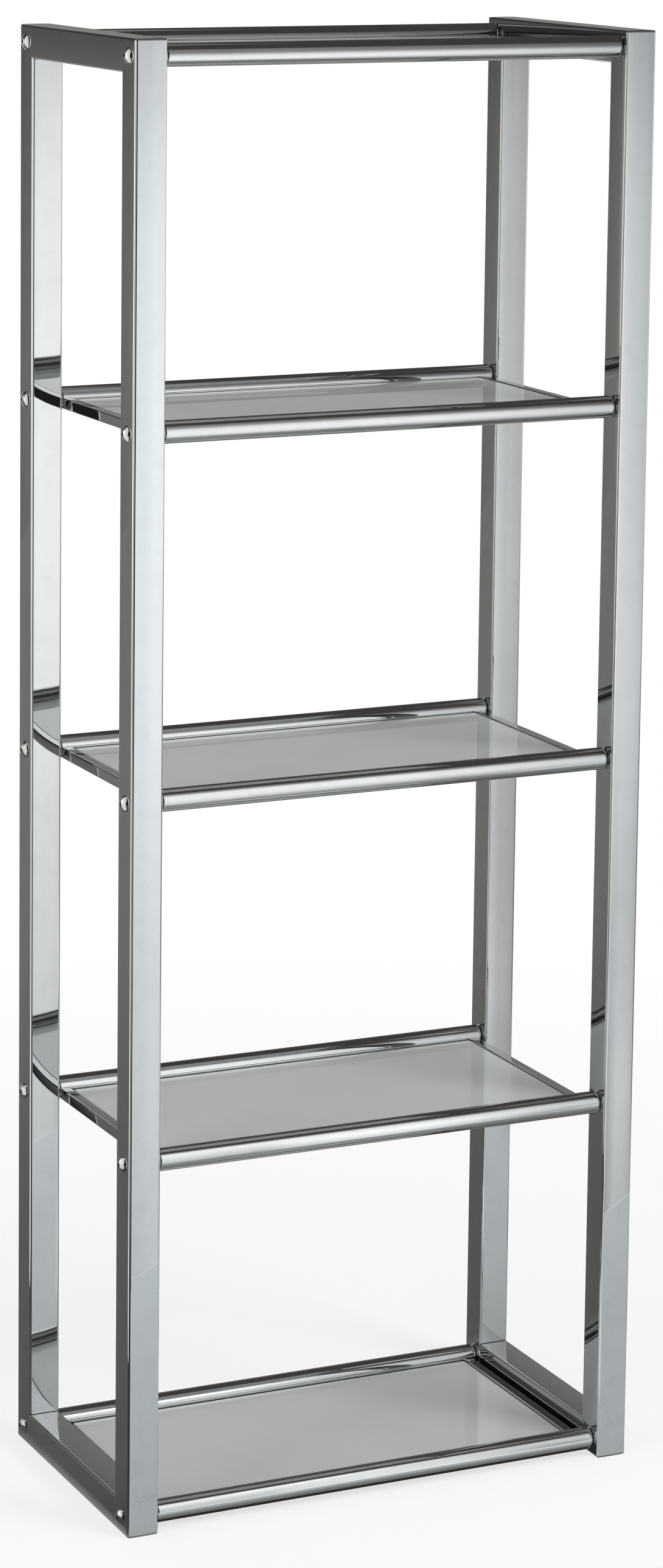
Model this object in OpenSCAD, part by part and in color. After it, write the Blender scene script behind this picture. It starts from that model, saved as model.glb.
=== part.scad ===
// Free-standing shelving unit: two welded side frames of square tube, joined at every shelf by
// a front and a rear round rail, with a loose glass panel between end bars.
// Origin: middle of the footprint, on the floor. +Z is up, -Y is the front, -X is the left.

/* [Overall] */
// Width across the outer faces of the two side frames
width = 635; // [560:1:760]
// Depth of the side frames, front to back
depth = 330.2; // [280:0.1:400]
// Height from one shelf to the next, rail centre to rail centre
shelf_pitch = 406.4; // [300:0.1:450]
// Number of shelves, with the top and the bottom one
shelf_count = 5; // [3:1:6]

/* [Side frame tube] */
// Side of the square tube
tube = 38.1; // [34:0.1:46]
// Wall of the square tube
tube_wall = 1.6; // [1.2:0.1:2.5]
// Outer radius of the long edges of the square tube
tube_edge_r = 3; // [2.6:0.1:4.5]

/* [Rails] */
// Diameter of a rail
rail_d = 25.4; // [22:0.1:28]
// Wall of a rail
rail_wall = 1.5; // [1:0.1:2]
// Radius by which each end of a rail is turned in
rail_edge_r = 4.5; // [3.5:0.1:5.5]
// Hole left in the turned-in end of a rail
rail_mouth_d = 12; // [11:0.1:13]

/* [End bars] */
// Width of an end bar
bar_w = 12.7; // [11:0.1:16]
// Height of an end bar
bar_h = 12.7; // [12:0.1:16]
// Wall of an end bar
bar_wall = 1.2; // [1:0.1:1.5]
// Outer radius of the long edges of an end bar
bar_edge_r = 1.8; // [1.7:0.1:2.5]
// Space between an end bar and the side frame beside it
bar_gap = 4.8; // [2:0.1:8]
// How far short of the rail's centre line the coped end of a bar stops
cope_stop = 3; // [2:0.1:6]
// Gap of the welded joint between a bar and a rail
weld_gap = 0.05; // [0.02:0.01:0.2]

/* [Glass] */
// Thickness of a glass panel
glass_t = 6; // [4:0.5:7]
// How far the top of the glass lies below the centre line of the rails
glass_drop = 1; // [0.5:0.1:2]
// Space between the glass and the rails and end bars around it
glass_gap = 1.4; // [0.6:0.1:3]
// Radius of the upright corners of the glass
glass_corner_r = 2; // [1:0.5:6]

/* [Support lugs and pads] */
// Length of a lug along its end bar
lug_l = 24; // [16:1:40]
// How far a lug reaches under the glass
lug_w = 15; // [12:1:25]
// Thickness of a lug
lug_t = 3; // [2:0.5:3.5]
// Distance between the centres of the two lugs on an end bar
lug_spacing = 160; // [100:1:200]
// Diameter of a vinyl pad
pad_d = 10; // [6:1:12]
// Thickness of a vinyl pad
pad_t = 1.2; // [0.6:0.1:2]

/* [Bolts and rail plugs] */
// Diameter of a bolt's shank
bolt_d = 8; // [6:0.5:9]
// Length of a bolt under its head
bolt_l = 55; // [52:0.5:60]
// Radial play of a bolt in the side frame
bolt_play = 0.25; // [0.1:0.05:0.5]
// Diameter of a bolt's domed head
head_d = 18.6; // [14:0.1:24]
// Height of a bolt's head
head_h = 5; // [3:0.1:6]
// Height of the straight rim under the dome
head_rim = 0.8; // [0.4:0.1:1.2]
// Width across the flats of the hex socket in a bolt's head
socket_w = 5; // [3:0.5:6]
// Depth of the hex socket
socket_depth = 2.4; // [1.5:0.1:2.8]
// Length of a threaded plug inside a rail
plug_l = 20; // [14:0.5:30]
// Radial play of a plug in its rail, and of a bolt's thread in its plug
plug_play = 0.05; // [0.02:0.01:0.1]

/* [Hidden] */
$fn = 64;
SIDES = ["left", "right"];
SHELVES = [1:shelf_count];
FRAME_TUBES = ["front_post", "rear_post", "top_member", "bottom_member"];

chrome = [0.78, 0.79, 0.80];
glass_grey = [0.66, 0.68, 0.67];
dull_steel = [0.55, 0.56, 0.57];
clear_vinyl = [0.86, 0.88, 0.86];

// Overlap of a cutting tool past the face that it cuts
cut = 1;

height = (shelf_count - 1) * shelf_pitch + tube;
frame_in_x = width / 2 - tube;
tube_mid_x = width / 2 - tube / 2;
rail_y = depth / 2 - tube / 2;
rail_r = rail_d / 2;
rail_l = 2 * frame_in_x;
bar_out_x = frame_in_x - bar_gap;
bar_in_x = bar_out_x - bar_w;
glass_w = 2 * (bar_in_x - glass_gap);
glass_l = 2 * (rail_y - rail_r - glass_gap);
lug_x = bar_in_x - lug_w / 2;

// Height of the rail centre lines of shelf k, counted from the top
function shelf_z(k) = height - tube / 2 - (k - 1) * shelf_pitch;
function sign_of(side) = side == "left" || side == "front" ? -1 : 1;
function glass_top_z(k) = shelf_z(k) - glass_drop;
function lug_top_z(k) = glass_top_z(k) - glass_t - pad_t;

// Rectangle with round corners, centred
module round_rect(w, h, r) {
    square([w - 2 * r, h], center = true);
    square([w, h - 2 * r], center = true);
    for (sx = [-1, 1]) for (sy = [-1, 1])
        translate([sx * (w / 2 - r), sy * (h / 2 - r)]) circle(r);
}

// Section of a tube with wall t, centred
module tube_section(w, h, r, t) {
    difference() {
        round_rect(w, h, r);
        round_rect(w - 2 * t, h - 2 * t, r - t);
    }
}

// Square tube along +Z, its outer face on y = 0, both ends mitred towards the inner face
module mitred_tube(length) {
    intersection() {
        translate([0, tube / 2, 0])
            linear_extrude(length) tube_section(tube, tube, tube_edge_r, tube_wall);
        rotate([90, 0, 90])
            translate([0, 0, -tube])
                linear_extrude(2 * tube)
                    polygon([[0, 0], [tube, tube], [tube, length - tube], [0, length]]);
    }
}

// Clearance hole across a side frame, at height z and on the given row of rails
module bolt_hole(row, z) {
    translate([-tube / 2 - cut, row * rail_y, z])
        rotate([0, 90, 0]) cylinder(d = bolt_d + 2 * bolt_play, h = tube + 2 * cut);
}

module post(side, row) {
    color(chrome)
        translate([sign_of(side) * tube_mid_x, 0, 0])
            difference() {
                rotate([0, 0, row < 0 ? 0 : 180])
                    translate([0, -depth / 2, 0]) mitred_tube(height);
                for (k = SHELVES) bolt_hole(row, shelf_z(k));
            }
}

module top_member(side) {
    color(chrome)
        translate([sign_of(side) * tube_mid_x, 0, 0])
            difference() {
                translate([0, -depth / 2, height]) rotate([-90, 0, 0]) mitred_tube(depth);
                for (row = [-1, 1]) bolt_hole(row, shelf_z(1));
            }
}

module bottom_member(side) {
    color(chrome)
        translate([sign_of(side) * tube_mid_x, 0, 0])
            difference() {
                translate([0, depth / 2, 0]) rotate([90, 0, 0]) mitred_tube(depth);
                for (row = [-1, 1]) bolt_hole(row, shelf_z(shelf_count));
            }
}

// Half section of a rail in radius and length: both corners round, grown inwards by t
module rail_outline(t) {
    r = rail_r - t;
    e = rail_edge_r - t;
    translate([0, t]) square([r - e, rail_l - 2 * t]);
    translate([0, rail_edge_r]) square([r, rail_l - 2 * rail_edge_r]);
    for (y = [rail_edge_r, rail_l - rail_edge_r]) translate([r - e, y]) circle(e);
}

// Round tube whose ends are turned in to a small mouth
module rail(row, k) {
    color(chrome)
        translate([-frame_in_x, row * rail_y, shelf_z(k)])
            rotate([0, 90, 0])
                rotate_extrude()
                    difference() {
                        intersection() {
                            rail_outline(0);
                            square([rail_r, rail_l]);
                        }
                        rail_outline(rail_wall);
                        translate([0, -cut]) square([rail_mouth_d / 2, rail_l + 2 * cut]);
                    }
}

// Square tube between the two rails of a shelf, coped to sit against both
module end_bar(side, k) {
    reach = rail_y - cope_stop;
    color(chrome)
        translate([sign_of(side) * (bar_in_x + bar_w / 2), 0, shelf_z(k)])
            difference() {
                translate([0, reach, -bar_h / 2])
                    rotate([90, 0, 0])
                        linear_extrude(2 * reach)
                            tube_section(bar_w, bar_h, bar_edge_r, bar_wall);
                for (row = [-1, 1])
                    translate([-bar_w, row * rail_y, 0])
                        rotate([0, 90, 0]) cylinder(r = rail_r + weld_gap, h = 2 * bar_w);
            }
}

module glass_shelf(k) {
    color(glass_grey)
        translate([0, 0, glass_top_z(k) - glass_t])
            linear_extrude(glass_t) round_rect(glass_w, glass_l, glass_corner_r);
}

// Half section of a bolt in radius and length: shank up to 0, then the rim and the dome
module bolt_section() {
    rise = head_h - head_rim;
    dome_r = (pow(head_d / 2, 2) + pow(rise, 2)) / (2 * rise);
    translate([0, -bolt_l]) square([bolt_d / 2, bolt_l + head_rim]);
    square([head_d / 2, head_rim]);
    intersection() {
        translate([0, head_h - dome_r]) circle(dome_r, $fn = 128);
        translate([0, head_rim]) square([head_d / 2, rise]);
    }
}

module frame_bolts(side) {
    color(chrome)
        for (k = SHELVES) for (row = [-1, 1])
            translate([sign_of(side) * width / 2, row * rail_y, shelf_z(k)])
                rotate([0, sign_of(side) * 90, 0])
                    difference() {
                        rotate_extrude() bolt_section();
                        translate([0, 0, head_h - socket_depth])
                            cylinder(d = socket_w / cos(30), h = socket_depth + cut, $fn = 6);
                    }
}

// Threaded slug pressed into the straight part of each rail end
module rail_plugs(row) {
    color(dull_steel)
        for (k = SHELVES) for (end = [-1, 1])
            translate([end * (frame_in_x - rail_edge_r), row * rail_y, shelf_z(k)])
                rotate([0, -end * 90, 0])
                    difference() {
                        cylinder(r = rail_r - rail_wall - plug_play, h = plug_l);
                        translate([0, 0, -cut])
                            cylinder(r = bolt_d / 2 + plug_play, h = plug_l + 2 * cut);
                    }
}

module shelf_lugs(side) {
    color(dull_steel)
        for (k = SHELVES) for (row = [-1, 1])
            translate([sign_of(side) * lug_x, row * lug_spacing / 2, lug_top_z(k) - lug_t / 2])
                cube([lug_w, lug_l, lug_t], center = true);
}

module glass_pads() {
    color(clear_vinyl)
        for (k = SHELVES) for (side = [-1, 1]) for (row = [-1, 1])
            translate([side * lug_x, row * lug_spacing / 2, lug_top_z(k)])
                cylinder(d = pad_d, h = pad_t);
}

for (side = SIDES) {
    post(side, -1);
    post(side, 1);
    top_member(side);
    bottom_member(side);
    frame_bolts(side);
    shelf_lugs(side);
}
for (row = ["front", "rear"]) for (k = SHELVES)
    rail(sign_of(row), k);
for (row = ["front", "rear"])
    rail_plugs(sign_of(row));
for (side = SIDES) for (k = SHELVES)
    end_bar(side, k);
for (k = SHELVES)
    glass_shelf(k);
glass_pads();
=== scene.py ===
"""Chromed tubes, glass panels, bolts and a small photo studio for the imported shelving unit."""
import math

import bpy
from bpy.props import FloatProperty, FloatVectorProperty, IntProperty, PointerProperty
from mathutils import Matrix, Vector


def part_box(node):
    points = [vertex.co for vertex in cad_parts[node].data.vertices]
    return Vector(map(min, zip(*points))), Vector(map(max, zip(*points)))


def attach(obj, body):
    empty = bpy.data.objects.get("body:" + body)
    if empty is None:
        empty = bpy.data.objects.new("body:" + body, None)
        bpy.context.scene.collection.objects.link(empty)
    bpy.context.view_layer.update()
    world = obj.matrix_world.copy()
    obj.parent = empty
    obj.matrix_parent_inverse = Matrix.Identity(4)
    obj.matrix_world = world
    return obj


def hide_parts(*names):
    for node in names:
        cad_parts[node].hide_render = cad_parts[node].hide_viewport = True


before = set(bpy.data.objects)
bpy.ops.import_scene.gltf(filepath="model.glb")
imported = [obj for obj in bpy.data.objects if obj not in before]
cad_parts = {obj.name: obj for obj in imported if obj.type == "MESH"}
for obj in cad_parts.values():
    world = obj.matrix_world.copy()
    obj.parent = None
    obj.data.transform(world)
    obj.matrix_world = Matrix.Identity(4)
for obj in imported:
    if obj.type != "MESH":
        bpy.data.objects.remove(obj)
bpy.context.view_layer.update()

bl_info = {
    "name": "Chrome and glass shelving unit",
    "version": (1, 0, 0),
    "blender": (4, 5, 0),
    "location": "View3D > Sidebar > Shelving",
    "description": "Builds the chromed frame, glass panels and bolts around the packed "
                   "shelving unit",
    "category": "Object",
}

MM = 0.001
WHITE, WARM, COOL = "#FFFFFF", "#FFFDF7", "#F8FDFF"
TOP_LEVEL = 2.0  # strength of every lit sheet; its colour stops hold shares of this
X, Y, Z = Matrix.Identity(3)
SIDES = ("left", "right")
ROWS = ("front", "rear")
FRAME_BODY = "frame"


def extent(node):
    """Size of a CAD node along x, y and z"""
    low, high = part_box(node)
    return high - low


def middle(node):
    """Middle of a CAD node's box"""
    low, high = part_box(node)
    return (low + high) / 2


SHELVES = range(1, sum(name.startswith("front_rail_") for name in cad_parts))
TUBE_SIDE = extent("left_front_post").x
RAIL_Y = middle("rear_rail_1").y
RAIL_Z = [middle(f"front_rail_{k}").z for k in SHELVES]
FRAME_OUT_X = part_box("right_front_post")[1].x


def linear(text):
    """Linear colour of an sRGB hex value such as #C9CBCC"""
    parts = (int(text[i:i + 2], 16) / 255 for i in (1, 3, 5))
    return [c / 12.92 if c <= 0.04045 else ((c + 0.055) / 1.055) ** 2.4 for c in parts]


def size(label, text, value, **more):
    """A length in metres that a user may change"""
    return FloatProperty(name=label, description=text, default=value, unit="LENGTH",
                         precision=5, **more)


def colour(label, text, value):
    """A colour that a user may change, from its sRGB hex value"""
    return FloatVectorProperty(name=label, description=text, default=linear(value),
                               subtype="COLOR", min=0, max=1)


class FrameTubeSizes(bpy.types.PropertyGroup):
    side: size("Side", "Side of the square tube of the side frames", TUBE_SIDE)
    wall: size("Wall", "Wall of the tube", 1.6 * MM)
    edge_radius: size("Edge radius", "Outer radius of the long edges", 3 * MM)
    crown_radius: size("Crown radius", "Radius of the slight crown of each face", 0.5)
    corner_radius: size("Corner radius", "How far a mitred outer corner is ground round", 1.2 * MM)


class RailSizes(bpy.types.PropertyGroup):
    diameter: size("Diameter", "Diameter of a rail", extent("front_rail_1").z)
    wall: size("Wall", "Wall of the tube", 1.5 * MM)
    end_radius: size("End radius", "Radius by which an end is turned in", 4.5 * MM)
    mouth_diameter: size("Mouth", "Hole left in a turned-in end", 12 * MM)
    segments: IntProperty(name="Segments", description="Flat strips round a rail", default=96)


class EndBarSizes(bpy.types.PropertyGroup):
    side: size("Side", "Side of the small square tube", extent("left_end_bar_1").x)
    wall: size("Wall", "Wall of the tube", 1.2 * MM)
    edge_radius: size("Edge radius", "Outer radius of the long edges", 1.8 * MM)
    crown_radius: size("Crown radius", "Radius of the slight crown of each face", 0.25)
    cope_stop: size("Cope stop", "How far short of the rail's centre the coped end stops", 3 * MM)
    weld_gap: size("Weld gap", "Gap of the welded joint between a bar and a rail", 0.05 * MM)


class GlassSizes(bpy.types.PropertyGroup):
    corner_radius: size("Corner radius", "Radius of the upright corners of a panel", 2 * MM)
    arris: size("Arris", "Width of the polished bevel along each edge", 0.8 * MM)


class BoltSizes(bpy.types.PropertyGroup):
    head_diameter: size("Head diameter", "Diameter of the domed head", 18.6 * MM)
    head_height: size("Head height", "Height of the domed head", 5 * MM)
    rim_height: size("Rim", "Height of the straight rim under the dome", 0.8 * MM)
    shank_diameter: size("Shank diameter", "Diameter of the shank", 8 * MM)
    shank_length: size("Shank length", "Length under the head", 55 * MM)
    socket_width: size("Socket width", "Width across the flats of the hex socket", 5 * MM)
    socket_depth: size("Socket depth", "Depth of the hex socket", 2.4 * MM)
    segments: IntProperty(name="Segments", description="Flat strips round a head", default=64)


class FinishColours(bpy.types.PropertyGroup):
    chrome: colour("Chrome", "Bright chromium plate", "#C9CBCC")
    glass: colour("Glass", "Satin grey glass", "#C0C3C2")
    glass_edge: colour("Glass edge", "Cut and polished edge of the glass", "#93A89F")
    steel: colour("Steel", "Dull zinc plate on the lugs and plugs", "#A5A7A6")
    vinyl: colour("Vinyl", "Clear vinyl of the pads", "#DDE0DB")


class StageSettings(bpy.types.PropertyGroup):
    floor_side: size("Floor", "Side of the square floor", 24.0)
    ambient: FloatProperty(name="Ambient", description="Even light on dull surfaces", default=0.60)
    key_power: FloatProperty(name="Key power", description="Power of the main lamp",
                             default=84, unit="POWER")
    fill_power: FloatProperty(name="Fill power", description="Power of the left lamp",
                              default=25, unit="POWER")


def add(tree, kind, inputs=None, output=0, stops=(), **options):
    """Add a node, set its options, its colour stops and its inputs, and return one output.

    An input that is given a socket is linked to it. output=None returns the node itself.
    """
    made = tree.nodes.new(kind)
    for name, value in options.items():
        setattr(made, name, value)
    if stops:
        made.color_ramp.interpolation = "CARDINAL"
        while len(made.color_ramp.elements) < len(stops):
            made.color_ramp.elements.new(1.0)
        for element, (place, shade) in zip(made.color_ramp.elements, stops):
            element.position, element.color = place, shade
    for key, value in (inputs or {}).items():
        socket = made.inputs[key] if isinstance(key, int) or key in made.inputs else next(
            s for s in made.inputs if s.identifier == key)
        if isinstance(value, bpy.types.NodeSocket):
            tree.links.new(value, socket)
        else:
            socket.default_value = value
    return made if output is None else made.outputs[output]


def span(low, high, to_low, to_high):
    """Ranges that a map range node turns one into the other"""
    return {"From Min": low, "From Max": high, "To Min": to_low, "To Max": to_high}


def blank_material(name):
    """A material with an empty node tree"""
    material = bpy.data.materials.new(name)
    material.use_nodes = True
    material.node_tree.nodes.clear()
    return material, material.node_tree


def chromed(name, tint, lines, line_scale, wave_size, wave_height):
    """Decorative chromium over nickel on polished steel.

    A near mirror: a trace of blue grey in the reflection, faint belt lines left by the polishing,
    an orange-peel waviness that bends straight reflections a little, finger smudges, a thin grey
    bloom where a cleaning cloth doesn't reach, painted shade as a dark line in the inner corner of
    a mitre, a few tiny pits, and patches of dull specks where water stays on top of the bottom
    member. The belt lines of about 0.05 mm are drawn ten times coarser so that they show.
    """
    material, tree = blank_material(name)
    place = add(tree, "ShaderNodeTexCoord", output="Object")
    along = add(tree, "ShaderNodeVectorMath", {
        0: add(tree, "ShaderNodeTexCoord", output=lines), 1: line_scale}, operation="MULTIPLY")
    belt = add(tree, "ShaderNodeTexNoise", {
        "Vector": along, "Scale": 1.0, "Detail": 3.0, "Roughness": 0.6})
    smudge, bloom, wave, etch = (
        add(tree, "ShaderNodeTexNoise", {
            "Vector": place, "Scale": 1 / width, "Detail": detail, "Roughness": mix})
        for width, detail, mix in ((70 * MM, 4.0, 0.55), (28 * MM, 5.0, 0.65),
                                   (wave_size, 1.0, 0.5), (2.2 * MM, 2.0, 0.5)))
    pits = add(tree, "ShaderNodeTexVoronoi", {"Vector": place, "Scale": 1 / (9 * MM)}, "Distance")
    pit = add(tree, "ShaderNodeMapRange", {"Value": pits, **span(0.03, 0.05, 0.45, 1.0)})
    veil = add(tree, "ShaderNodeMapRange", {"Value": bloom, **span(0.45, 0.75, 1.0, 0.94)})
    # painted shade: the seam mask darkens the chrome to 8 % in the inner corner of each mitre
    joint = add(tree, "ShaderNodeAttribute", output="Fac", attribute_name="joint")
    painted_seam_shade = add(tree, "ShaderNodeMapRange", {"Value": joint, **span(0.0, 0.7, 1.0, 0.08)})
    height = add(tree, "ShaderNodeSeparateXYZ", {0: place}, "Z")
    wet_heights = ((0.035, 0), (0.038, 1), (0.06, 1), (0.12, 0))  # metres above the floor, share
    wet = add(tree, "ShaderNodeValToRGB", {0: height}, stops=[
        (metres, (share,) * 3 + (1.0,)) for metres, share in wet_heights])
    patch = add(tree, "ShaderNodeMapRange", {"Value": bloom, **span(0.48, 0.60, 0.0, 1.0)})
    rust = add(tree, "ShaderNodeMapRange", {"Value": etch, **span(0.50, 0.72, 0.0, 0.22)})
    washed = add(tree, "ShaderNodeMath", {0: wet, 1: patch}, operation="MULTIPLY")
    specks = add(tree, "ShaderNodeMath", {0: washed, 1: rust}, operation="MULTIPLY")
    clean = add(tree, "ShaderNodeMath", {0: 1.0, 1: specks}, operation="SUBTRACT")
    dim = pit
    for mark in (painted_seam_shade, clean, veil):
        dim = add(tree, "ShaderNodeMath", {0: dim, 1: mark}, operation="MULTIPLY")
    shade = add(tree, "ShaderNodeVectorMath", {0: tint, "Scale": dim}, operation="SCALE")
    smear = add(tree, "ShaderNodeMapRange", {"Value": smudge, **span(0.35, 0.75, 0.006, 0.024)})
    rough = add(tree, "ShaderNodeMath", {0: belt, 1: 0.012, 2: smear}, operation="MULTIPLY_ADD")
    swell = add(tree, "ShaderNodeBump", {"Height": wave, "Distance": wave_height})
    grain = add(tree, "ShaderNodeBump", {"Height": belt, "Distance": 0.0006 * MM, "Normal": swell})
    metal = add(tree, "ShaderNodeBsdfPrincipled", {
        "Base Color": shade, "Metallic": 1.0, "Roughness": rough, "Normal": grain})
    add(tree, "ShaderNodeOutputMaterial", {"Surface": metal}, None)
    return material


def satin_glass(name, body, edge):
    """Grey float glass, acid etched on its underside.

    The polished top mirrors the room at low angles and carries wiping smears and a little dust.
    The etched underside scatters the light, so the panel reads as solid pale grey, and the
    polished edges show the green of the iron in the glass.
    """
    material, tree = blank_material(name)
    place = add(tree, "ShaderNodeTexCoord", output="Object")
    facing = add(tree, "ShaderNodeNewGeometry", output="True Normal")
    up = add(tree, "ShaderNodeSeparateXYZ", {0: facing}, "Z")
    level = add(tree, "ShaderNodeMath", {0: up}, operation="ABSOLUTE")
    rim = add(tree, "ShaderNodeMapRange", {"Value": level, **span(0.5, 0.9, 1.0, 0.0)})
    drift, dust, tooth, roll = (
        add(tree, "ShaderNodeTexNoise", {"Vector": place, "Scale": 1 / width, "Detail": detail})
        for width, detail in ((180 * MM, 3.0), (1.6 * MM, 1.0), (0.6 * MM, 2.0), (160 * MM, 1.0)))
    cloud = add(tree, "ShaderNodeMapRange", {"Value": drift, **span(0.3, 0.7, 0.965, 1.02)})
    speck = add(tree, "ShaderNodeMapRange", {"Value": dust, **span(0.73, 0.78, 1.0, 1.12)})
    tone = add(tree, "ShaderNodeMath", {0: cloud, 1: speck}, operation="MULTIPLY")
    tinted = add(tree, "ShaderNodeMix", {
        "Factor_Float": rim, "A_Color": (*body, 1), "B_Color": (*edge, 1)}, 2, data_type="RGBA")
    shade = add(tree, "ShaderNodeVectorMath", {0: tinted, "Scale": tone}, operation="SCALE")
    wiped = add(tree, "ShaderNodeVectorMath", {0: place, 1: (1.0, 3.0, 1.0)}, operation="MULTIPLY")
    smear = add(tree, "ShaderNodeTexNoise", {
        "Vector": wiped, "Scale": 1 / (90 * MM), "Detail": 4.0, "Roughness": 0.6})
    polished = add(tree, "ShaderNodeMapRange", {"Value": smear, **span(0.4, 0.75, 0.010, 0.035)})
    etched = add(tree, "ShaderNodeMapRange", {"Value": up, **span(-0.9, -0.5, 0.45, 0.0)})
    rough = add(tree, "ShaderNodeMath", {0: polished, 1: etched}, operation="MAXIMUM")
    depth = add(tree, "ShaderNodeMath", {0: tooth, 1: etched}, operation="MULTIPLY")
    wave = add(tree, "ShaderNodeBump", {"Height": roll, "Distance": 0.03 * MM})
    bump = add(tree, "ShaderNodeBump", {"Height": depth, "Distance": 0.02 * MM, "Normal": wave})
    glass = add(tree, "ShaderNodeBsdfPrincipled", {
        "Base Color": shade, "Roughness": rough, "IOR": 1.5, "Normal": bump})
    add(tree, "ShaderNodeOutputMaterial", {"Surface": glass}, None)
    return material


def cloudy(name, tint, cloud, tones, roughs, tooth, depth, surface):
    """A plain material with soft patches of tone and gloss and a fine tooth. cloud is the width of
    a patch, tooth the width and detail of the fine noise, and surface what else the shader has."""
    material, tree = blank_material(name)
    place = add(tree, "ShaderNodeTexCoord", output="Object")
    patch, fine = (
        add(tree, "ShaderNodeTexNoise", {"Vector": place, "Scale": 1 / width, "Detail": detail})
        for width, detail in ((cloud, 3.0), tooth))
    tone, rough = (add(tree, "ShaderNodeMapRange", {"Value": patch, **span(0.3, 0.7, *ends)})
                   for ends in (tones, roughs))
    shade = add(tree, "ShaderNodeVectorMath", {0: tint, "Scale": tone}, operation="SCALE")
    bump = add(tree, "ShaderNodeBump", {"Height": fine, "Distance": depth})
    body = add(tree, "ShaderNodeBsdfPrincipled", {
        "Base Color": shade, "Roughness": rough, "Normal": bump, **surface})
    add(tree, "ShaderNodeOutputMaterial", {"Surface": body}, None)
    return material


def finish_for(slot):
    """The material of a record's slot, made when it is first asked for"""
    name = slot + "_finish"
    if name in bpy.data.materials:
        return bpy.data.materials[name]
    tints = bpy.context.scene.shelving_colours
    fine, long = 1 / (0.5 * MM), 9.0
    maker, *looks = {
        "chromed_tube": (chromed, tints.chrome, "UV", (fine, long, 1.0), 24 * MM, 0.012 * MM),
        "chromed_rail": (chromed, tints.chrome, "Object", (long, fine, fine), 20 * MM, 0.006 * MM),
        "plated_bolt": (chromed, tints.chrome, "Object", (1 / MM,) * 3, 4 * MM, 0.002 * MM),
        "satin_glass": (satin_glass, tints.glass, tints.glass_edge),
        # bright zinc dulled by handling
        "plain_steel": (cloudy, tints.steel, 6 * MM, (0.85, 1.05), (0.3, 0.45),
                        (0.8 * MM, 2.0), 0.01 * MM, {"Metallic": 1.0}),
        # milky see-through pads, matt where dust has stuck to them
        "clear_vinyl": (cloudy, tints.vinyl, 2 * MM, (0.93, 1.0), (0.25, 0.45),
                        (2 * MM, 3.0), 0.02 * MM, {"IOR": 1.53, "Transmission Weight": 0.55}),
    }[slot]
    return maker(name, *looks)


def settle(piece, body, slot, replaced):
    """Give a finished piece the material of a slot unless it has one, put it into its body, and
    hide the CAD node it stands for
    """
    if not piece.data.materials:
        piece.data.materials.append(finish_for(slot))
    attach(piece, body)
    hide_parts(replaced)


def new_piece(name, mesh):
    """An object that shows a mesh, put into the scene"""
    piece = bpy.data.objects.new(name, mesh)
    bpy.context.scene.collection.objects.link(piece)
    return piece


def crowned_square(side, edge, crown, face_steps=10, edge_steps=7):
    """Section of a square tube with crowned faces and round edges: points and where they face"""
    lean = math.pi / 4 - math.asin((crown - side / 2) / ((crown - edge) * math.sqrt(2)))
    hub = Vector((1, 1)) * (crown - edge) * math.sin(lean)
    back = Vector((crown - side / 2, 0))
    angles = [lean * (2 * i / face_steps - 1) for i in range(face_steps)]
    angles += [lean + (math.pi / 2 - 2 * lean) * i / edge_steps for i in range(edge_steps)]
    section = []
    for quarter in range(4):
        turn = Matrix.Rotation(quarter * math.pi / 2, 2)
        for angle in angles:
            facing = Vector((math.cos(angle), math.sin(angle)))
            point = facing * crown - back if angle < lean else hub + facing * edge
            section.append((turn @ point, turn @ facing))
    return section


def square_skins(s, **steps):
    """Outer and inner section of a square tube of the sizes s"""
    return [crowned_square(s.side - 2 * inset, s.edge_radius - inset, s.crown_radius, **steps)
            for inset in (0, s.wall)]


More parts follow.
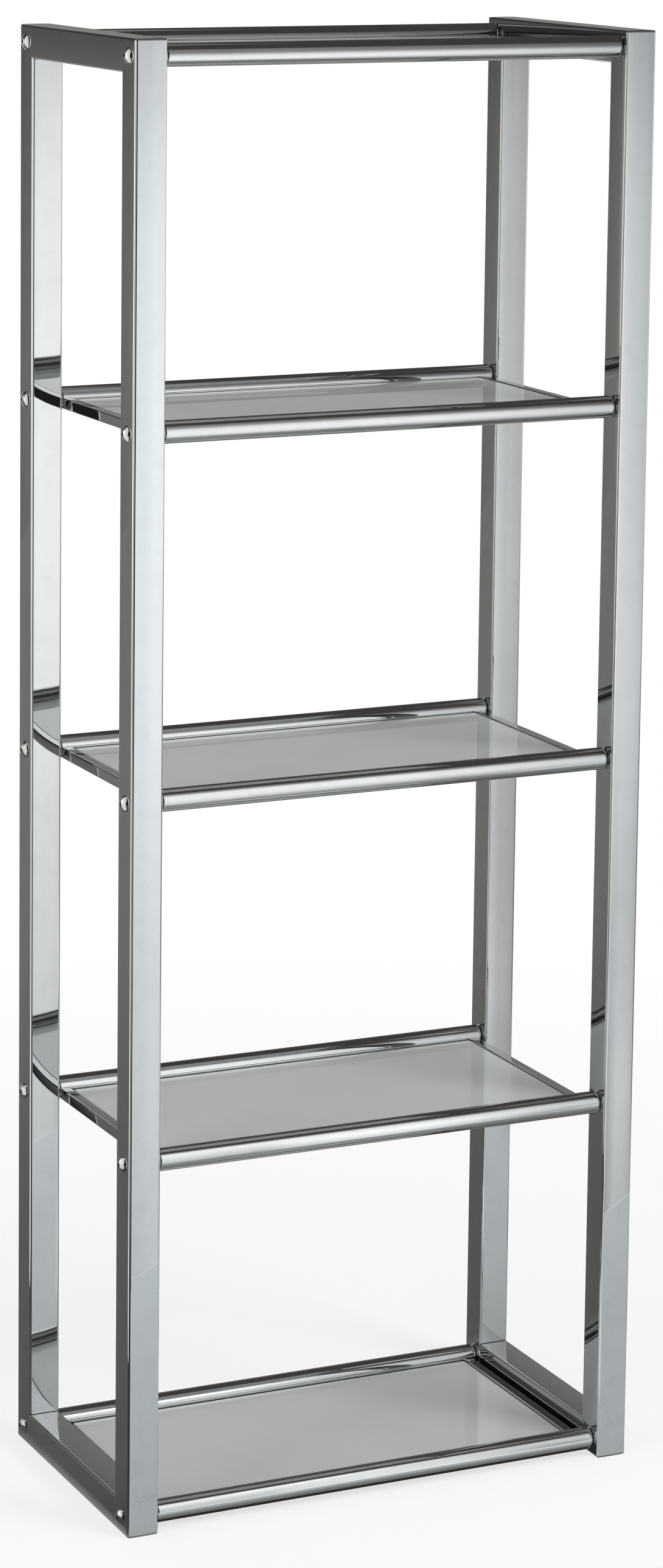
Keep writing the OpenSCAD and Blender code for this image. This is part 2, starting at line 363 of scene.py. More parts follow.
def tube_mesh(name, sections, end_path, centre, out, along):
    """Hollow tube. Each point of the outer and inner section runs along the tube between two
    mirrored ends, and end_path(u) gives its rings from the tip inwards: (u, reach, turn). A
    point attribute is 1 at the tips of a mitre's inner side, where two tubes meet in a corner:
    the mask of the painted shade that the chrome draws there as a dark seam."""
    joint_rings, inner_side = 2, -0.7
    across = along.cross(out)
    axes = Matrix((out, across, along)).transposed()
    points, facings, where, joints = [], [], [], []
    skins = []
    for skin, section in enumerate(sections):
        rings = []
        paths = [end_path(point.x) for point, _ in section]
        steps = len(paths[0])
        lengths = [0.0]
        for i in range(len(section)):
            lengths.append(lengths[-1] + (section[i][0] - section[i - 1][0]).length)
        for end, order in ((1, range(steps)), (-1, reversed(range(steps)))):
            for step in order:
                ring = []
                for path, (spot, facing), run in zip(paths, section, lengths[1:]):
                    u, reach, turn = path[step]
                    ring.append(len(points))
                    points.append(centre + axes @ Vector((u, spot.y, end * reach)))
                    lean = turn if facing.x > 0 else 0.0
                    normal = Vector((facing.x * math.cos(lean), facing.y,
                                     end * facing.x * math.sin(lean)))
                    facings.append(axes @ (normal if skin == 0 else -normal))
                    where.append((run, end * reach))
                    # mask of the painted seam shade in a mitre's inner corner
                    joints.append(float(step < joint_rings and turn > 0
                                        and facing.x < inner_side))
                rings.append(ring)
        skins.append(rings)
    count = len(sections[0])
    faces, smooth = [], []
    for skin, rings in enumerate(skins):
        for upper, lower in zip(rings, rings[1:]):
            for i in range(count):
                j = (i + 1) % count
                face = (lower[i], lower[j], upper[j], upper[i])
                faces.append(face if skin == 0 else face[::-1])
                smooth.append(True)
    for tip, flip in ((0, False), (-1, True)):
        outer, inner = skins[0][tip], skins[1][tip]
        for i in range(count):
            j = (i + 1) % count
            face = (outer[i], outer[j], inner[j], inner[i])
            faces.append(face[::-1] if flip else face)
            smooth.append(False)
    mesh = bpy.data.meshes.new(name)
    mesh.from_pydata([tuple(p) for p in points], [], faces)
    mesh.update()
    mesh.attributes.new("joint", "FLOAT", "POINT").data.foreach_set("value", joints)
    sheet = mesh.uv_layers.new(name="Along the tube")
    normals = []
    around = max(run for run, _ in where)
    for polygon, is_smooth in zip(mesh.polygons, smooth):
        runs = [where[v][0] for v in polygon.vertices]
        crosses_seam = max(runs) - min(runs) > around / 2
        for loop in polygon.loop_indices:
            vertex = mesh.loops[loop].vertex_index
            run, reach = where[vertex]
            if crosses_seam and run < around / 2:
                run += around
            sheet.data[loop].uv = (run, reach)
            normals.append(facings[vertex] if is_smooth else polygon.normal.copy())
    mesh.polygons.foreach_set("use_smooth", [True] * len(faces))
    mesh.normals_split_custom_set([n.normalized() for n in normals])
    return mesh


def mitred_end(length, side, ground):
    """Rings of a tube's end cut at 45 degrees, its outer corner ground round"""
    turned = side / 2 - ground
    steps = 5
    spread = 0.4 * MM

    def path(u):
        straight, bent = min(u, turned), max(0.0, u - turned)
        rings = []
        for step in range(steps):
            turn = math.pi / 4 * (1 - step / (steps - 1))
            rings.append((straight + bent * math.cos(turn),
                          length / 2 + straight - step * spread + bent * math.sin(turn), turn))
        return rings
    return path


class SHELVING_OT_frame_tubes(bpy.types.Operator):
    """Chromed square tubes of the two side frames, mitred and ground flush at the corners"""
    bl_idname = "shelving.frame_tubes"
    bl_label = "Side frames"

    def execute(self, context):
        s = context.scene.shelving_tubes
        skins = square_skins(s)
        tubes = {"front_post": (-Y, Z), "rear_post": (Y, Z),
                 "top_member": (Z, Y), "bottom_member": (-Z, Y)}
        for side in SIDES:
            for part, (out, along) in tubes.items():
                name = f"{side}_{part}"
                length = abs(extent(name).dot(along)) - s.side
                mesh = tube_mesh(name + "_tube", skins,
                                 mitred_end(length, s.side, s.corner_radius),
                                 middle(name), out, along)
                settle(new_piece(name + "_tube", mesh), FRAME_BODY, "chromed_tube", name)
        return {"FINISHED"}


class SHELVING_OT_end_bars(bpy.types.Operator):
    """Small square tubes between the two rails of a shelf, their ends coped to the rails"""
    bl_idname = "shelving.end_bars"
    bl_label = "End bars"

    def execute(self, context):
        s = context.scene.shelving_bars
        rail = context.scene.shelving_rails.diameter / 2 + s.weld_gap
        skins = square_skins(s, face_steps=6, edge_steps=6)

        def coped(u):
            drop = s.side / 2 - u
            inside = math.sqrt(max(0.0, rail ** 2 - drop ** 2))
            return [(u, RAIL_Y - max(s.cope_stop, inside), 0.0)]

        for side in SIDES:
            for k in SHELVES:
                name = f"{side}_end_bar_{k}"
                mesh = tube_mesh(name + "_tube", skins, coped, middle(name), Z, Y)
                mesh.materials.append(finish_for("chromed_tube"))  # its grain runs along the bar
                settle(new_piece(name + "_tube", mesh), FRAME_BODY, "chromed_rail", name)
        return {"FINISHED"}


def new_tree(name, sizes):
    """A Geometry Nodes tree with named inputs and one geometry output"""
    tree = bpy.data.node_groups.new(name, "GeometryNodeTree")
    for label, kind in sizes.items():
        tree.interface.new_socket(label, in_out="INPUT", socket_type=kind)
    tree.interface.new_socket("Geometry", in_out="OUTPUT", socket_type="NodeSocketGeometry")
    return tree, add(tree, "NodeGroupInput", output=None).outputs


def grow(name, tree, values, finishing=()):
    """Evaluate a tree on an empty object and keep the result as a plain mesh"""
    piece = new_piece(name, bpy.data.meshes.new(name))
    modifier = piece.modifiers.new("Shape", "NODES")
    modifier.node_group = tree
    sockets = {s.name: s.identifier for s in tree.interface.items_tree if s.in_out == "INPUT"}
    for label, value in values.items():
        modifier[sockets[label]] = value
    for kind, options in finishing:
        extra = piece.modifiers.new(kind.title(), kind)
        for option, value in options.items():
            setattr(extra, option, value)
    ready = piece.evaluated_get(bpy.context.evaluated_depsgraph_get())
    mesh = bpy.data.meshes.new_from_object(ready)
    piece.modifiers.clear()
    piece.data = mesh
    mesh.name = name
    return piece


def turned(tree, profile, segments):
    """Turn a profile drawn in (radius, -height) round the Z axis"""
    pin = MM
    shifted = add(tree, "GeometryNodeTransform", {
        "Geometry": profile, "Translation": (-pin, 0, 0)})
    ring = add(tree, "GeometryNodeCurvePrimitiveCircle", {"Resolution": segments, "Radius": pin})
    skin = add(tree, "GeometryNodeCurveToMesh", {"Curve": ring, "Profile Curve": shifted})
    return add(tree, "GeometryNodeMergeByDistance", {"Geometry": skin, "Distance": 0.01 * MM})


def close_tree(tree, shape, material):
    """Turn instances into real faces, paint them and send them out"""
    real = add(tree, "GeometryNodeRealizeInstances", {0: shape})
    painted = add(tree, "GeometryNodeSetMaterial", {"Geometry": real, "Material": material})
    add(tree, "NodeGroupOutput", {0: painted}, None)


def rail_tree(material):
    """A round tube whose two ends are turned in to a small mouth"""
    number = "NodeSocketFloat"
    tree, given = new_tree("Chromed rail", {
        "Length": number, "Diameter": number, "End radius": number,
        "Mouth diameter": number, "Segments": "NodeSocketInt", "Centre": "NodeSocketVector"})
    radius, mouth, half = (add(tree, "ShaderNodeMath", {0: given[label], 1: 0.5},
                               operation="MULTIPLY")
                           for label in ("Diameter", "Mouth diameter", "Length"))
    other = add(tree, "ShaderNodeMath", {0: half, 1: -1.0}, operation="MULTIPLY")
    corners = {f"Point {i}": add(tree, "ShaderNodeCombineXYZ", {0: x, 1: y}) for i, (x, y) in
               enumerate(((mouth, other), (radius, other), (radius, half), (mouth, half)), 1)}
    line = add(tree, "GeometryNodeCurvePrimitiveQuadrilateral", corners, mode="POINTS")
    opened = add(tree, "GeometryNodeSetSplineCyclic", {"Geometry": line, "Cyclic": False})
    rounded = add(tree, "GeometryNodeFilletCurve", {
        "Curve": opened, "Count": 8, "Radius": given["End radius"]}, mode="POLY")
    skin = turned(tree, rounded, given["Segments"])
    smooth = add(tree, "GeometryNodeSetShadeSmooth", {"Geometry": skin})
    laid = add(tree, "GeometryNodeTransform", {
        "Geometry": smooth, "Translation": given["Centre"], "Rotation": (0, math.pi / 2, 0)})
    close_tree(tree, laid, material)
    return tree


class SHELVING_OT_rails(bpy.types.Operator):
    """Round rails across the unit, one in front and one behind at every shelf"""
    bl_idname = "shelving.rails"
    bl_label = "Rails"

    def execute(self, context):
        s = context.scene.shelving_rails
        tree = rail_tree(finish_for("chromed_rail"))
        for row in ROWS:
            for k in SHELVES:
                name = f"{row}_rail_{k}"
                piece = grow(name + "_tube", tree, {
                    "Length": extent(name).x, "Diameter": s.diameter,
                    "End radius": s.end_radius, "Mouth diameter": s.mouth_diameter,
                    "Segments": s.segments, "Centre": tuple(middle(name)),
                }, [("SOLIDIFY", {"thickness": s.wall, "offset": -1, "use_even_offset": True}),
                    ("WEIGHTED_NORMAL", {"weight": 100, "keep_sharp": True})])
                settle(piece, FRAME_BODY, "chromed_rail", name)
        return {"FINISHED"}


def bolt_tree(material):
    """Domed socket-head bolts, one at every rail end of a side frame"""
    number = "NodeSocketFloat"
    tree, given = new_tree("Dome-head bolts", {
        "Head radius": number, "Head height": number, "Rim height": number,
        "Dome radius": number, "Dome angle": number, "Shank radius": number,
        "Shank length": number, "Socket radius": number, "Socket depth": number,
        "Segments": "NodeSocketInt", "Row distance": number, "Rows up": "NodeSocketInt",
        "Height": number, "Centre": "NodeSocketVector", "Turn": "NodeSocketVector"})
    head, rim, shank = given["Head radius"], given["Rim height"], given["Shank radius"]
    end = add(tree, "ShaderNodeMath", {0: given["Shank length"], 1: -1.0}, operation="MULTIPLY")
    sweep = add(tree, "ShaderNodeMath", {0: given["Dome angle"], 1: -1.0}, operation="MULTIPLY")
    arc = add(tree, "GeometryNodeCurveArc", {
        "Resolution": 14, "Radius": given["Dome radius"], "Start Angle": math.pi / 2,
        "Sweep Angle": sweep})
    sunk = add(tree, "ShaderNodeMath", {0: given["Head height"], 1: given["Dome radius"]},
               operation="SUBTRACT")
    dome = add(tree, "GeometryNodeTransform", {
        "Geometry": arc, "Translation": add(tree, "ShaderNodeCombineXYZ", {1: sunk})})
    tip = add(tree, "ShaderNodeCombineXYZ", {0: shank, 1: end})
    body = add(tree, "GeometryNodeCurvePrimitiveQuadrilateral", {
        "Point 1": add(tree, "ShaderNodeCombineXYZ", {0: head, 1: rim}),
        "Point 2": add(tree, "ShaderNodeCombineXYZ", {0: head}),
        "Point 3": add(tree, "ShaderNodeCombineXYZ", {0: shank}), "Point 4": tip}, mode="POINTS")
    side = add(tree, "GeometryNodeSetSplineCyclic", {"Geometry": body, "Cyclic": False})
    foot = add(tree, "GeometryNodeCurvePrimitiveLine", {
        "Start": tip, "End": add(tree, "ShaderNodeCombineXYZ", {1: end})})
    profile = add(tree, "GeometryNodeJoinGeometry", output=None)
    for part in (dome, side, foot):
        tree.links.new(part, profile.inputs[0])
    blank = turned(tree, profile.outputs[0], given["Segments"])
    twice = add(tree, "ShaderNodeMath", {0: given["Socket depth"], 1: 2.0}, operation="MULTIPLY")
    hex_key = add(tree, "GeometryNodeMeshCylinder", {
        "Vertices": 6, "Radius": given["Socket radius"], "Depth": twice}, "Mesh")
    lift = add(tree, "ShaderNodeMath", {0: given["Head height"], 1: -1.0}, operation="MULTIPLY")
    key = add(tree, "GeometryNodeTransform", {
        "Geometry": hex_key, "Translation": add(tree, "ShaderNodeCombineXYZ", {2: lift})})
    cut = add(tree, "GeometryNodeMeshBoolean", {"Mesh 1": blank, "Mesh 2": key},
              operation="DIFFERENCE", solver="EXACT")
    bend = add(tree, "GeometryNodeInputMeshEdgeAngle")
    crease = math.radians(32)
    soft = add(tree, "FunctionNodeCompare", {0: bend, 1: crease}, operation="LESS_THAN")
    shaded = add(tree, "GeometryNodeSetShadeSmooth", {"Geometry": cut, "Shade Smooth": soft},
                 domain="EDGE")
    grid = add(tree, "GeometryNodeMeshGrid", {
        "Size X": given["Height"], "Size Y": given["Row distance"],
        "Vertices X": given["Rows up"], "Vertices Y": 2})
    upright = add(tree, "GeometryNodeTransform", {
        "Geometry": grid, "Rotation": (0, math.pi / 2, 0), "Translation": given["Centre"]})
    spin = add(tree, "FunctionNodeRandomValue", {
        "Min_001": 0.0, "Max_001": math.tau, "Seed": 7}, 1, data_type="FLOAT")
    faced = add(tree, "FunctionNodeEulerToRotation", {0: given["Turn"]})
    rolled = add(tree, "FunctionNodeEulerToRotation", {
        0: add(tree, "ShaderNodeCombineXYZ", {2: spin})})
    twist = add(tree, "FunctionNodeRotateRotation", {"Rotation": faced, "Rotate By": rolled},
                rotation_space="LOCAL")
    placed = add(tree, "GeometryNodeInstanceOnPoints", {
        "Points": upright, "Instance": shaded, "Rotation": twist})
    close_tree(tree, placed, material)
    return tree


class SHELVING_OT_bolts(bpy.types.Operator):
    """Chromed dome-head bolts on the outer face of each side frame"""
    bl_idname = "shelving.bolts"
    bl_label = "Bolts"

    def execute(self, context):
        s = context.scene.shelving_bolts
        radius, rise = s.head_diameter / 2, s.head_height - s.rim_height
        dome = (radius ** 2 + rise ** 2) / (2 * rise)
        tree = bolt_tree(finish_for("plated_bolt"))
        for side, sign in zip(SIDES, (-1, 1)):
            name = f"{side}_frame_bolts"
            piece = grow(name + "_domed", tree, {
                "Head radius": radius, "Head height": s.head_height, "Rim height": s.rim_height,
                "Dome radius": dome, "Dome angle": math.asin(radius / dome),
                "Shank radius": s.shank_diameter / 2, "Shank length": s.shank_length,
                "Socket radius": s.socket_width / math.sqrt(3), "Socket depth": s.socket_depth,
                "Segments": s.segments, "Row distance": 2 * RAIL_Y, "Rows up": len(SHELVES),
                "Height": RAIL_Z[0] - RAIL_Z[-1],
                "Centre": (sign * FRAME_OUT_X, 0.0, (RAIL_Z[0] + RAIL_Z[-1]) / 2),
                "Turn": (0.0, -sign * math.pi / 2, 0.0)})
            settle(piece, FRAME_BODY, "plated_bolt", name)
        return {"FINISHED"}


class SHELVING_OT_glass(bpy.types.Operator):
    """Loose glass panels with polished edges"""
    bl_idname = "shelving.glass"
    bl_label = "Glass panels"

    def execute(self, context):
        s = context.scene.shelving_glass
        steps = 6
        for k in SHELVES:
            name = f"glass_shelf_{k}"
            low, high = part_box(name)
            points = []
            for inset, z in ((s.arris, low.z), (0.0, low.z + s.arris),
                             (0.0, high.z - s.arris), (s.arris, high.z)):
                for quarter, (sx, sy) in enumerate(((1, 1), (-1, 1), (-1, -1), (1, -1))):
                    hub = sx * (high.x - s.corner_radius) * X + sy * (high.y - s.corner_radius) * Y
                    for step in range(steps + 1):
                        angle = math.pi / 2 * (quarter + step / steps)
                        reach = s.corner_radius - inset
                        points.append((hub.x + reach * math.cos(angle),
                                       hub.y + reach * math.sin(angle), z))
            count = 4 * (steps + 1)
            last = len(points) - count
            faces = [tuple(reversed(range(count))), tuple(range(last, len(points)))]
            for ring in range(0, last, count):
                for i in range(count):
                    j = (i + 1) % count
                    faces.append((ring + i, ring + j, ring + count + j, ring + count + i))
            mesh = bpy.data.meshes.new(name + "_plate")
            mesh.from_pydata(points, [], faces)
            mesh.update()
            settle(new_piece(name + "_plate", mesh), f"glass_panel_{k}", "satin_glass", name)
        return {"FINISHED"}


class SHELVING_OT_hardware(bpy.types.Operator):
    """Finish of the support lugs, rail plugs and pads, which keep their own shapes"""
    bl_idname = "shelving.hardware"
    bl_label = "Lugs, plugs and pads"

    def execute(self, context):
        steel = [f"{side}_shelf_lugs" for side in SIDES] + [f"{row}_rail_plugs" for row in ROWS]
        for name in (*steel, "glass_pads"):
            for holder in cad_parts[name].material_slots:
                holder.material = finish_for("plain_steel" if name in steel else "clear_vinyl")
        return {"FINISHED"}


def seen_directly(tree):
    """1 for rays from the camera or a mirror or through glass, 0 for those that light things"""
    path = add(tree, "ShaderNodeLightPath", output=None).outputs
    either = add(tree, "ShaderNodeMath", {0: path["Is Camera Ray"], 1: path["Is Glossy Ray"]},
                 operation="MAXIMUM")
    return add(tree, "ShaderNodeMath", {0: either, 1: path["Is Transmission Ray"]},
               operation="MAXIMUM")


def sheet_object(name, corner, right, up):
    """A flat sheet of four corners with its own UV map, left out of the object"""
    mesh = bpy.data.meshes.new(name)
    corner = Vector(corner)
    corners = (corner, corner + right, corner + right + up, corner + up)
    mesh.from_pydata([tuple(p) for p in corners], [], [(0, 1, 2, 3)])
    sheet = mesh.uv_layers.new(name="Sheet")
    for loop, spot in enumerate(((0, 0), (1, 0), (1, 1), (0, 1))):
        sheet.data[loop].uv = spot
    piece = new_piece(name, mesh)
    return piece


def light_stops(pairs, length, top=1.0, tint=WHITE):
    """Colour stops from (metres along a sheet, level) pairs, or with a tint of their own"""
    return [(metres / length, [c * level / top for c in linear((*own, tint)[0])] + [1.0])
            for metres, level, *own in pairs]


def reflector(name, corner, right, up, rows, columns=None, solid=False, sheen=None, tint=WARM):
    """A sheet that only polished surfaces see. Its light follows rows of (metres up, level), times
    columns of (metres across, share, tint). Unless solid, it adds to what lies behind it. sheen is
    rows of light that a half-glossy sheet shows at low angles as well."""
    piece = sheet_object("mirror_" + name, corner, right, up)
    material, tree = blank_material(piece.name)
    uv = add(tree, "ShaderNodeTexCoord", output="UV")
    across, upward = (add(tree, "ShaderNodeSeparateXYZ", {0: uv}, axis) for axis in "XY")
    light = add(tree, "ShaderNodeValToRGB", {0: upward},
                stops=light_stops(rows, up.length, TOP_LEVEL, tint))
    if sheen:
        facing = add(tree, "ShaderNodeLayerWeight", output="Facing")
        low = add(tree, "ShaderNodeMath", {0: facing, 1: 2.0}, operation="POWER")
        gloss = add(tree, "ShaderNodeValToRGB", {0: upward},
                    stops=light_stops(sheen, up.length, TOP_LEVEL, tint))
        glance = add(tree, "ShaderNodeVectorMath", {0: gloss, "Scale": low}, operation="SCALE")
        light = add(tree, "ShaderNodeVectorMath", {0: light, 1: glance}, operation="ADD")
    if columns:
        share = add(tree, "ShaderNodeValToRGB", {0: across},
                    stops=light_stops(columns, right.length))
        light = add(tree, "ShaderNodeVectorMath", {0: light, 1: share}, operation="MULTIPLY")
    glow = add(tree, "ShaderNodeEmission", {"Color": light, "Strength": TOP_LEVEL})
    if not solid:
        clear = add(tree, "ShaderNodeBsdfTransparent")
        glow = add(tree, "ShaderNodeAddShader", {0: glow, 1: clear})
    add(tree, "ShaderNodeOutputMaterial", {"Surface": glow}, None)
    piece.data.materials.append(material)
    for ray in ("camera", "diffuse", "shadow", "transmission", "volume_scatter"):
        setattr(piece, "visible_" + ray, False)
    return piece


def lamp(name, place, target, width, power):
    """A soft area lamp that lights dull surfaces and isn't mirrored in the chrome"""
    light = bpy.data.lights.new(name, "AREA")
    light.size = width
    light.energy = power
    holder = bpy.data.objects.new(name, light)
    bpy.context.scene.collection.objects.link(holder)
    away = Vector(place) - Vector(target)
    holder.matrix_world = (Matrix.Translation(place)
                           @ away.to_track_quat("Z", "Y").to_matrix().to_4x4())
    holder.visible_glossy = False
    holder.visible_camera = False


class SHELVING_OT_stage(bpy.types.Operator):
    """Camera, pale floor, white background, soft lamps and the sheets that the chrome mirrors"""
    bl_idname = "shelving.stage"
    bl_label = "Studio"

    def execute(self, context):
        s = context.scene.shelving_stage
        self.camera(context.scene)
        self.background(context.scene, s)
        self.floor(s)
        self.reflectors()
        aim, width = (0, 0, 0.8), 1.6
        lamp("key_lamp", (1.9, -2.9, 3.0), aim, width, s.key_power)
        lamp("fill_lamp", (-2.6, -0.6, 2.4), aim, width, s.fill_power)
        return {"FINISHED"}

    def camera(self, scene):
        """The photograph's camera: a long lens a little above the unit, in front and to the left"""
        data = bpy.data.cameras.new("camera")
        data.sensor_fit, data.sensor_width = "AUTO", 36
        data.lens, data.shift_x, data.shift_y = 96.6, 0.1008, -0.25
        data.clip_end = 100
        holder = bpy.data.objects.new("camera", data)
        place = (-2.082, -4.258, 1.899)
        yaw, pitch, roll = (math.radians(a) for a in (-23.87, -7.82, 0.40))
        holder.matrix_world = (
            Matrix.Translation(place) @ Matrix.Rotation(yaw, 4, "Z")
            @ Matrix.Rotation(pitch, 4, "X") @ Matrix.Rotation(-roll, 4, "Y")
            @ Matrix.Rotation(math.pi / 2, 4, "X"))
        scene.collection.objects.link(holder)
        scene.camera = holder

    def background(self, scene, s):
        """White to the eye, the mirror and the glass, and a plain even light on the rest"""
        world = bpy.data.worlds.new("studio")
        world.use_nodes = True
        tree = world.node_tree
        tree.nodes.clear()
        white = add(tree, "ShaderNodeBackground", {"Color": (1, 1, 1, 1)})
        even = add(tree, "ShaderNodeBackground", {"Color": (1, 1, 1, 1), "Strength": s.ambient})
        both = add(tree, "ShaderNodeMixShader", {0: seen_directly(tree), 1: even, 2: white})
        add(tree, "ShaderNodeOutputWorld", {"Surface": both}, None)
        scene.world = world

    def floor(self, s):
        """Plain pale floor that keeps the soft shadow near the object and is white further out"""
        half = s.floor_side / 2
        piece = sheet_object("floor", (-half, -half, 0), 2 * half * X, 2 * half * Y)
        material, tree = blank_material("floor_paper")
        place = add(tree, "ShaderNodeTexCoord", output="Object")
        reach = add(tree, "ShaderNodeVectorMath", {0: place}, "Value", operation="LENGTH")
        plain = add(tree, "ShaderNodeMapRange", {"Value": reach, **span(0.6, 2.2, 0.70, 1.0)})
        share = add(tree, "ShaderNodeMath", {0: seen_directly(tree), 1: plain},
                    operation="MULTIPLY")
        grain = add(tree, "ShaderNodeTexNoise", {"Vector": place, "Scale": 1 / (3 * MM)})
        tooth = add(tree, "ShaderNodeMapRange", {"Value": grain, **span(0.3, 0.7, 0.86, 0.9)})
        tint = add(tree, "ShaderNodeCombineColor", {0: tooth, 1: tooth, 2: tooth})
        dull = add(tree, "ShaderNodeBsdfDiffuse", {"Color": tint})
        white = add(tree, "ShaderNodeEmission", {"Color": (1, 1, 1, 1)})
        both = add(tree, "ShaderNodeMixShader", {0: share, 1: dull, 2: white})
        add(tree, "ShaderNodeOutputMaterial", {"Surface": both}, None)
        piece.data.materials.append(material)

    def reflectors(self):
        """What the chrome mirrors: a dim room, a bright panel in front and cards at the sides.
        The lowest sheets lie just above the floor, so that it doesn't hide them."""
        far, top = 6.0, 4.6
        across, along = 2 * far * X, 2 * far * Y
        self.room(far, across, along, top * Z)
        reflector("floor", (-far, -far, 0.4 * MM), across, along, solid=True, rows=[
            (0, 0.04), (far - 0.3, 0.05), (far - 0.1, 0.1), (far, 0.13), (far + 0.25, 0.14),
            (far + 1.2, 0.17), (far + 2.1, 0.23), (2 * far, 0.25)])
        # painted light on the mirrored floor: bright in front and fading towards the unit as a
        # painted contact shadow, with a painted sheen at low angles
        reflector("floor_painted_sheen_and_shadow", (-0.33, -0.95, 0.5 * MM), 2.43 * X, 1.2 * Y, tint=COOL,
                  rows=[(0, 0.4), (0.3, 0.3), (0.55, 0.24), (0.75, 0.18), (0.9, 0.05), (1.2, 0)],
                  columns=[(0, 0), (0.02, 1), (0.04, 1), (0.63, 0.97), (0.87, 0.9),
                           (1.13, 0.85), (1.83, 0.5), (2.43, 0)],
                  sheen=[(0, 0.95), (1, 0.95), (1.2, 0)])
        # painted shadow: a near-black sheet under the footprint, mirrored by the chrome in place of
        # the shade under the bottom shelf
        reflector("painted_shadow_under_shelf", (-0.279, -0.16, 0.6 * MM), 0.558 * X, 0.32 * Y, solid=True,
                  rows=[(0, 0.04), (0.06, 0.01), (0.32, 0.01)])
        reflector("key_panel", (-0.13, -0.95, 0), 2 * X, 2.8 * Z, tint=WHITE,
                  rows=[(0, 0.6), (0.12, 0.68), (0.25, 0.8), (0.48, 1.03), (0.7, 1.26),
                        (0.95, 1.4), (1.2, 1.39), (1.39, 1.31), (1.5, 1.16), (1.64, 0.86),
                        (1.8, 0.52), (1.96, 0.34), (2.2, 0.25), (2.5, 0.2), (2.8, 0)],
                  columns=[(0, 0, COOL), (0.004, 0.94, COOL), (0.008, 0.94, COOL),
                           (0.11, 0.93, COOL), (0.17, 0.97, COOL), (0.213, 1.05, COOL),
                           (0.26, 0.98), (0.52, 1), (0.7, 0.88), (0.82, 0.76),
                           (0.86, 0.71, COOL), (0.92, 0.66, COOL), (0.97, 0.57), (1.05, 0.53),
                           (1.3, 0.35), (2, 0)])
        reflector("low_card", (-0.08, -0.32, 0), 0.41 * X, 0.56 * Z, tint=WHITE,
                  rows=[(0, 0.5), (0.05, 0.54), (0.08, 0.44), (0.12, 0.18), (0.16, 0.02),
                        (0.27, 0.05), (0.31, 0.5), (0.38, 0.56), (0.43, 0.56), (0.47, 0.46),
                        (0.5, 0.27), (0.56, 0)],
                  columns=[(0, 0), (0.05, 0.7), (0.15, 1), (0.27, 0.8), (0.36, 0.3), (0.41, 0)])
        reflector("low_left_card", (-0.13, -0.949, 0), 0.42 * X, 0.95 * Z, tint=COOL,
                  rows=[(0, 0.26), (0.12, 0.26), (0.25, 0.22), (0.48, 0.12), (0.7, 0.06),
                        (0.95, 0)],
                  columns=[(0, 0), (0.004, 0.94), (0.008, 0.94), (0.11, 0.93), (0.213, 1.05),
                           (0.32, 0.98), (0.42, 0)])
        reflector("low_right_card", (0.66, -0.948, 0), 0.46 * X, 1.2 * Z, tint=WHITE,
                  rows=[(0, 0.36), (0.18, 0.41), (0.25, 0.32), (0.32, 0.24), (0.45, 0.16),
                        (0.65, 0.14), (0.8, 0.09), (1, 0.015), (1.2, 0)],
                  columns=[(0, 0), (0.07, 1), (0.14, 1), (0.2, 0.7), (0.3, 0.6), (0.46, 0)])
        reflector("left_card", (-0.85, -0.32, 0), 0.72 * Y, 2.4 * Z,
                  rows=[(0, 0.9), (2.1, 0.95), (2.4, 0)],
                  columns=[(0, 0), (0.03, 1), (0.66, 1), (0.72, 0)])
        reflector("right_card", (1.1, -0.45, 0), 0.8 * Y, 2.4 * Z,
                  rows=[(0, 0.3), (0.8, 0.42), (1.6, 0.62), (2.1, 0.6), (2.4, 0)],
                  columns=[(0, 0), (0.25, 1), (0.5, 0.8), (0.8, 0)])
        reflector("rear_card", (-0.7, 2.6, 0), 1.4 * X, 2.8 * Z,
                  rows=[(0, 0.6), (1.2, 0.9), (2, 0.6), (2.8, 0)],
                  columns=[(0, 0), (0.5, 1), (0.9, 1), (1.4, 0)])
        self.side_cards(top)

    def side_cards(self, top):
        """Soft cards for other points of view. The flat faces that the camera sees don't mirror
        them, neither straight nor by way of a second face."""
        for name, corner, right, up, level in (
                ("rear_left", (-5, 2.6, 0), 3.05 * X, 2.8 * Z, 0.75),
                ("rear_right", (2.05, 2.6, 0), 2.9 * X, 2.8 * Z, 0.75),
                ("front_left", (-4.2, -2.2, 0), 2.6 * X, 2.8 * Z, 0.75),
                ("left_rear", (-3.4, -0.1, 0), 1.6 * Y, 2.8 * Z, 0.15),
                ("right_rear", (3.2, 0.4, 0), 3 * Y, 2.8 * Z, 0.6),
                ("right_front", (3.2, -3.6, 0), 3 * Y, 2.8 * Z, 0.6),
                ("floor_left", (-4, -4, 0.5 * MM), 3.3 * X, 3.6 * Y, 0.25),
                ("floor_right", (0.7, -0.4, 0.5 * MM), 3.3 * X, 3.6 * Y, 0.2),
                ("ceiling", (-2.2, 0.5, top - 0.05), 3.6 * X, 2 * Y, 0.35)):
            wide, high = right.length, up.length
            reflector(name + "_card", corner, right, up,
                      rows=[(0, 0), (0.2 * high, level), (0.8 * high, level), (high, 0)],
                      columns=[(0, 0), (0.12 * wide, 1), (0.88 * wide, 1), (wide, 0)])

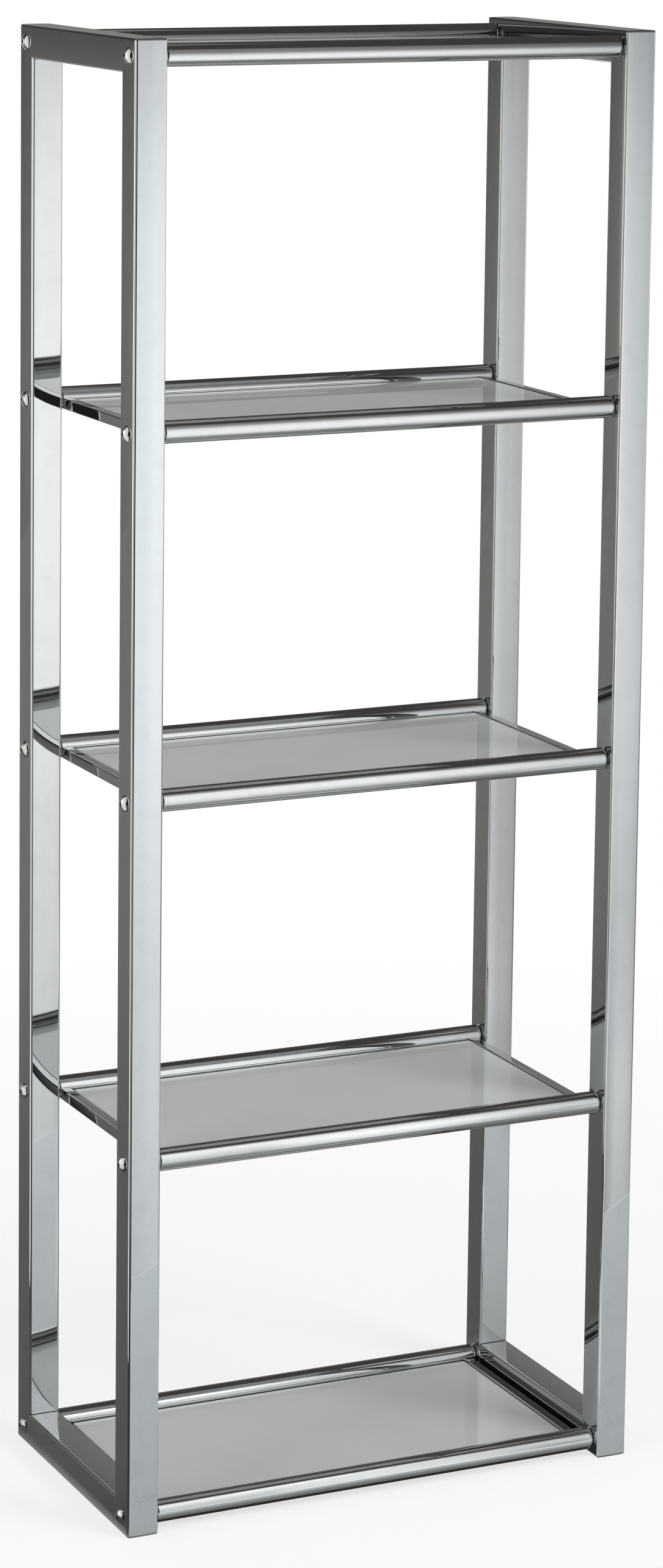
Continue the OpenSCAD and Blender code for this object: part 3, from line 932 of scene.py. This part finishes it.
    def room(self, far, across, along, rise):
        """Dim walls and ceiling of the room, with two glows on the rear wall"""
        top = rise.z
        reflector("rear_wall", (-far, far, 0), across, rise, solid=True,
                  rows=[(0, 0.25), (0.6, 0.25), (1.1, 0.2), (1.3, 0.16), (1.8, 0.12),
                        (top, 0.07)],
                  columns=[(0, 1), (2, 1), (2.6, 0.98), (3, 0.9), (3.4, 0.85), (5, 0.6),
                           (2 * far, 0.5)])
        reflector("rear_left_glow", (-far, far - 0.1, 0), 3.2 * X, 3 * Z,
                  rows=[(0, 0.05), (0.8, 0.2), (1.6, 0.2), (3, 0)],
                  columns=[(0, 1), (2.2, 1), (2.5, 0), (3.2, 0)])
        reflector("rear_right_glow", (0.4, far - 0.1, 1.3), 5.6 * X, 2.6 * Z,
                  rows=[(0, 0), (0.5, 0.16), (1.4, 0.16), (2.6, 0)],
                  columns=[(0, 0), (1.2, 1), (5.6, 1)])
        reflector("front_wall", (-far, -far, 0), across, rise, solid=True,
                  rows=[(0, 0.03), (top, 0.03)])
        reflector("left_wall", (-far, -far, 0), along, rise, solid=True,
                  rows=[(0, 1), (1.6, 0.8), (top, 0.4)],
                  columns=[(0, 0.04), (5.6, 0.06), (7, 0.16), (9.6, 0.4), (2 * far, 0.35)])
        reflector("right_wall", (far, -far, 0), along, rise, solid=True,
                  rows=[(0, 0.12), (top, 0.08)])
        reflector("ceiling", (-far, -far, top), across, along, solid=True,
                  rows=[(0, 0.07), (2 * far, 0.07)])


class SHELVING_PT_panel(bpy.types.Panel):
    """Buttons that build the pieces and the stage"""
    bl_idname = "SHELVING_PT_panel"
    bl_label = "Shelving unit"
    bl_space_type = "VIEW_3D"
    bl_region_type = "UI"
    bl_category = "Shelving"

    def draw(self, context):
        for operator, name, _ in BUILDERS:
            box, group = self.layout.box(), getattr(context.scene, name)
            for setting in group.bl_rna.properties.keys():
                if setting not in {"rna_type", "name"}:
                    box.prop(group, setting)
            box.operator(operator.bl_idname)


BUILDERS = (
    (SHELVING_OT_frame_tubes, "shelving_tubes", FrameTubeSizes),
    (SHELVING_OT_rails, "shelving_rails", RailSizes),
    (SHELVING_OT_end_bars, "shelving_bars", EndBarSizes),
    (SHELVING_OT_bolts, "shelving_bolts", BoltSizes),
    (SHELVING_OT_glass, "shelving_glass", GlassSizes),
    (SHELVING_OT_hardware, "shelving_colours", FinishColours),
    (SHELVING_OT_stage, "shelving_stage", StageSettings),
)


def register():
    for operator, name, group in BUILDERS:
        bpy.utils.register_class(group)
        bpy.utils.register_class(operator)
        setattr(bpy.types.Scene, name, PointerProperty(type=group))
    bpy.utils.register_class(SHELVING_PT_panel)


def unregister():
    bpy.utils.unregister_class(SHELVING_PT_panel)
    for operator, name, group in reversed(BUILDERS):
        delattr(bpy.types.Scene, name)
        bpy.utils.unregister_class(operator)
        bpy.utils.unregister_class(group)


def main():
    """Build every piece and the stage"""
    register()
    bpy.context.scene.view_settings.view_transform = "Standard"
    bpy.ops.shelving.frame_tubes()
    bpy.ops.shelving.rails()
    bpy.ops.shelving.end_bars()
    bpy.ops.shelving.bolts()
    bpy.ops.shelving.glass()
    bpy.ops.shelving.hardware()
    bpy.ops.shelving.stage()


if __name__ == "__main__":
    main()
